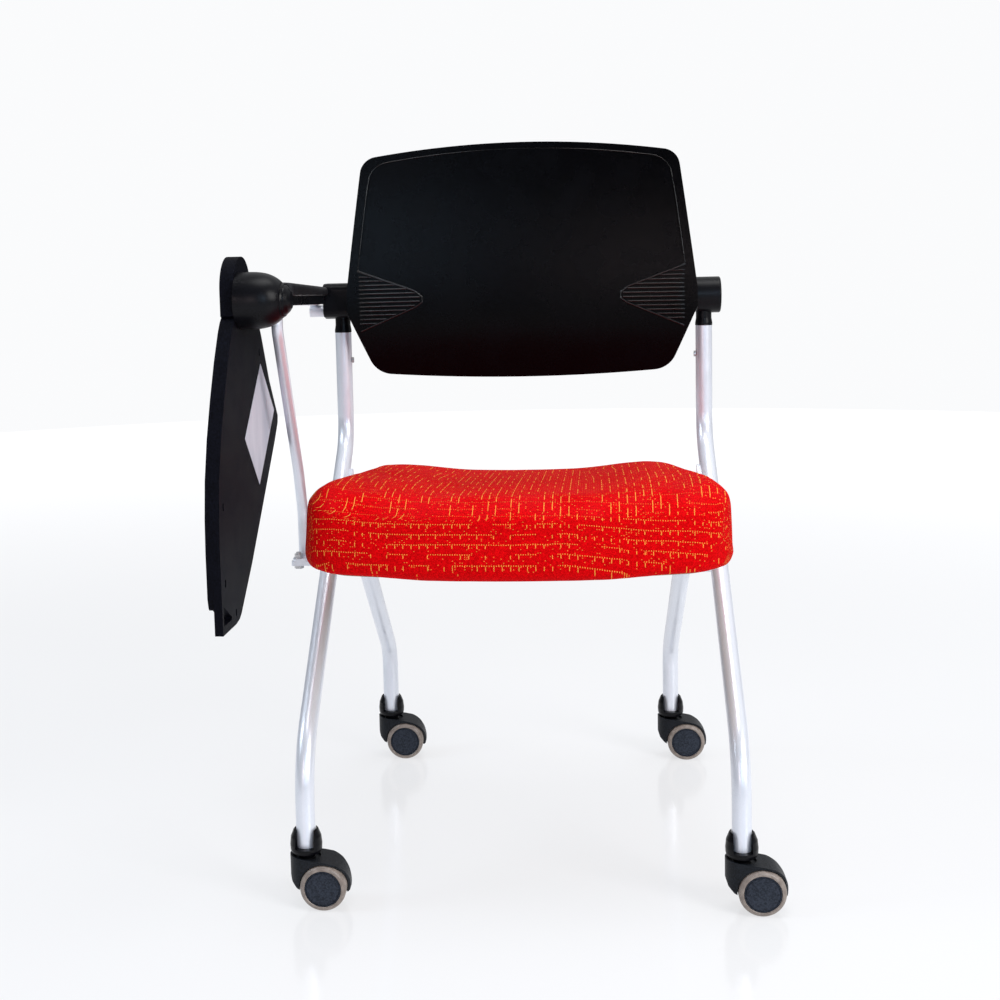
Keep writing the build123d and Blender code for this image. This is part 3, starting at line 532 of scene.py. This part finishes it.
def inflate(pad, underside_z):
    """Blow the cushion up as cloth held at its underside, and cap how far a point moves."""
    start = [v.co.copy() for v in pad.data.vertices]
    held = pad.vertex_groups.new(name="held")
    low = [v.index for v in pad.data.vertices if v.co.z < underside_z + HELD_HEIGHT]
    held.add(low, 1.0, "REPLACE")
    cloth = pad.modifiers.new("cloth", "CLOTH")
    cloth.settings.quality = 6
    cloth.settings.mass = 0.3
    cloth.settings.tension_stiffness = 20.0
    cloth.settings.compression_stiffness = 20.0
    cloth.settings.bending_stiffness = 1.0
    cloth.settings.use_pressure = True
    cloth.settings.uniform_pressure_force = CUSHION_PRESSURE
    cloth.settings.vertex_group_mass = "held"
    cloth.settings.effector_weights.gravity = 0.0
    cloth.collision_settings.use_collision = False
    cloth.point_cache.frame_start = 1
    cloth.point_cache.frame_end = CUSHION_FRAMES
    for frame_number in range(1, CUSHION_FRAMES + 1):
        scene.frame_set(frame_number)
    bake_modifiers(pad)
    scene.frame_set(1)
    for v, first in zip(pad.data.vertices, start):
        move = v.co - first
        if move.length > CUSHION_CAP:
            v.co = first + move * (CUSHION_CAP / move.length)


def make_cushion():
    """Seat cushion: the CAD form remeshed, blown up as cloth, shaped and given its weave."""
    lo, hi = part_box("seat_cushion")
    pad = remeshed_copy("seat_cushion", "seat_cushion_cloth", CUSHION_VOXEL)
    # the top starts a little low, because the cloth swells there most
    normals = [v.normal.copy() for v in pad.data.vertices]
    for v, n in zip(pad.data.vertices, normals):
        if n.z > 0.5:
            v.co.z -= TOP_ALLOWANCE
    inflate(pad, lo.z)
    soften(pad, 6)
    subdivide = pad.modifiers.new("subdivide", "SUBSURF")
    subdivide.levels = subdivide.render_levels = 1
    bake_modifiers(pad)
    mesh = pad.data

    # the cloth pulls its sides in, so the plan is stretched back to the upholstered size
    for axis in (0, 1):
        near, far = min(v.co[axis] for v in mesh.vertices), max(v.co[axis] for v in mesh.vertices)
        wide = (hi[axis] - lo[axis] - 0.0015) / (far - near)
        for v in mesh.vertices:
            v.co[axis] = (lo[axis] + hi[axis]) / 2 + (v.co[axis] - (near + far) / 2) * wide
    for v in mesh.vertices:
        seat_shape(v.co, lo, hi)
    add_weave(mesh, lo, hi)
    finish_mesh(mesh, MATERIALS["red_fabric"])
    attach(pad, "seat")
    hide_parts("seat_cushion")


def add_weave(mesh, lo, hi):
    """Cloth coordinates at every vertex: along the width, front to back, and how far it lies on top.

    One sheet covers the seat, so the coordinates run on down the front, the sides and the rear.
    """
    mid_x = (lo.x + hi.x) / 2
    top_z = lo.z + 0.07
    layer = mesh.attributes.new("weave", "FLOAT_VECTOR", "POINT")
    edge = [1e9] * (EDGE_BINS + 1)
    for v in mesh.vertices:
        k = min(EDGE_BINS, max(0, int((v.co.x - lo.x) / (hi.x - lo.x) * EDGE_BINS)))
        edge[k] = min(edge[k], v.co.y)
    values = []
    for v in mesh.vertices:
        at = min(EDGE_BINS - 1e-6, max(0.0, (v.co.x - lo.x) / (hi.x - lo.x) * EDGE_BINS - 0.5))
        front_y = edge[int(at)] + (edge[int(at) + 1] - edge[int(at)]) * (at - int(at))
        x, n = v.co.x - mid_x, v.normal
        flat = n.x ** 2 + n.y ** 2 + 1e-6
        sideways = rise(n.x ** 2 / flat, 0.62, 0.95)
        drop = max(0.0, top_z - v.co.z)
        top = rise(n.z, 0.25, 0.8)
        along = x + (1.0 if x > 0 else -1.0) * sideways * drop
        fore_aft = 1.0 if v.co.y > (lo.y + hi.y) / 2 else -1.0
        back = v.co.y - front_y * (1.0 - sideways) - lo.y * sideways
        back += (1.0 - sideways) * drop * fore_aft
        # the cloth is pulled round the front corner on +X, which slants the pattern there
        back += 0.13 * max(0.0, x - 0.05) * (1.0 - sideways)
        lean = 0.09 * max(0.0, -x) * top
        values.extend((along - lean - 0.02 * back * top, back, top))
    layer.data.foreach_set("vector", values)


def make_arm_pad():
    """Moulded arm pad: the CAD form remeshed, softened at every edge and given a crowned top."""
    lo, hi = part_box("arm_pad")
    pad = remeshed_copy("arm_pad", "arm_pad_skin", 0.0016)
    soften(pad, 9)
    bake_modifiers(pad)
    mid, half = (lo.x + hi.x) / 2, (hi.x - lo.x) / 2
    for v in pad.data.vertices:
        if v.normal.z > 0.3:
            v.co.z += 0.0012 * (1.0 - min(1.0, abs(v.co.x - mid) / half) ** 2)
    finish_mesh(pad.data, MATERIALS["pad_foam"])
    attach(pad, "frame")
    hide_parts("arm_pad")


def add_bead(name, points, radius):
    """Raised bead along a line of points on the back, as a closed round mesh."""
    data = bpy.data.curves.new(name, "CURVE")
    data.dimensions = "3D"
    data.bevel_depth = radius
    data.bevel_resolution = 2
    data.use_fill_caps = True
    spline = data.splines.new("POLY")
    spline.points.add(len(points) - 1)
    for place, p in zip(spline.points, points):
        place.co = (*p, 1.0)
    curve = bpy.data.objects.new(name, data)
    scene.collection.objects.link(curve)
    graph = bpy.context.evaluated_depsgraph_get()
    mesh = bpy.data.meshes.new_from_object(curve.evaluated_get(graph))
    bpy.data.objects.remove(curve)
    bpy.data.curves.remove(data)
    mesh.name = name
    bead = bpy.data.objects.new(name, mesh)
    scene.collection.objects.link(bead)
    finish_mesh(mesh, MATERIALS["gloss_line"])
    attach(bead, "back")


def even_steps(corners, pitch, fewest):
    """Points about a pitch apart along the straight lines between corners."""
    points = []
    for (x0, z0), (x1, z1) in zip(corners, corners[1:]):
        steps = max(fewest, int(((x1 - x0) ** 2 + (z1 - z0) ** 2) ** 0.5 / pitch))
        points += [(x0 + (x1 - x0) * k / steps, z0 + (z1 - z0) * k / steps) for k in range(steps)]
    return points + [corners[-1]]


def make_vent_beads():
    """Beads on the front of the back: round each ribbed field, on its ribs, and round the panel."""
    lo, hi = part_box("back_shell")
    graph = bpy.context.evaluated_depsgraph_get()
    shell = BVHTree.FromObject(frame["nodes"]["back_shell"], graph)
    mid = (lo.x + hi.x) / 2
    tilt = next(j for j in record["behaviour"]["joints"] if j["name"] == "back_tilt")
    middle = tilt["pos_m"][2] + 0.003

    def on_front(points):
        """Points of a line laid on the shell's front, on the lands between its grooves."""
        hits = []
        for x, z in points:
            start = Vector((mid + x, lo.y - 0.1, middle + z))
            hits.append(shell.ray_cast(start, Vector((0, 1, 0)))[0])
        hits = [p for p in hits if p]
        line = []
        for i, p in enumerate(hits):
            near = hits[max(0, i - 2):i + 3]
            line.append(Vector((p.x, min(q.y for q in near) + 0.0001, p.z)))
        return line

    # distance from the middle of the back and height above the middle of the ribbed field
    corners = [(0.199, 0.036), (0.130, 0.010), (0.1215, 0.003)]
    corners += [(0.1215, -0.0035), (0.130, -0.0095), (0.197, -0.038)]

    def field_edge(z):
        """Distance from the middle at which the ribbed field starts at height z."""
        for (x0, z0), (x1, z1) in zip(corners, corners[1:]):
            if z1 <= z <= z0:
                return x0 + (x1 - x0) * (z0 - z) / (z0 - z1)
        return 1.0

    for side, sx in (("l", -1), ("r", 1)):
        outline = [(sx * x, z) for x, z in even_steps(corners, 0.003, 2)]
        add_bead(f"vent_bead_{side}", on_front(outline), FIELD_BEAD)
        for k in range(SLATS):
            z = (k - (SLATS - 1) / 2) * SLAT_PITCH
            start = field_edge(z) + 0.003
            if start > 0.192:
                continue
            steps = 14
            slat = [(sx * (start + (SLAT_END - start) * i / steps), z) for i in range(steps + 1)]
            add_bead(f"vent_slat_{side}_{k}", on_front(slat), SLAT_BEAD)

    # line round the inner panel, from one field over the top to the other
    panel = [(0.1985, 0.037), (0.1947, 0.067), (0.1894, 0.109), (0.1848, 0.141)]
    panel += [(0.1830, 0.1505), (0.1788, 0.1583), (0.1729, 0.1634), (0.1662, 0.1666)]
    for x in (0.157, 0.13, 0.1, 0.07, 0.04, 0.02, 0.0):
        panel.append((x, 0.1642 + 0.017 * (1.0 - (x / 0.182) ** 2)))
    panel += [(-x, z) for x, z in reversed(panel[:-1])]
    add_bead("panel_line", on_front(even_steps(panel, 0.004, 1)), PANEL_BEAD)


scene.view_settings.view_transform = "Standard"
make_world()
for light in LIGHTS:
    area_light(*light)
make_floor()
make_camera()
dress_cad()
make_cushion()
make_arm_pad()
make_vent_beads()
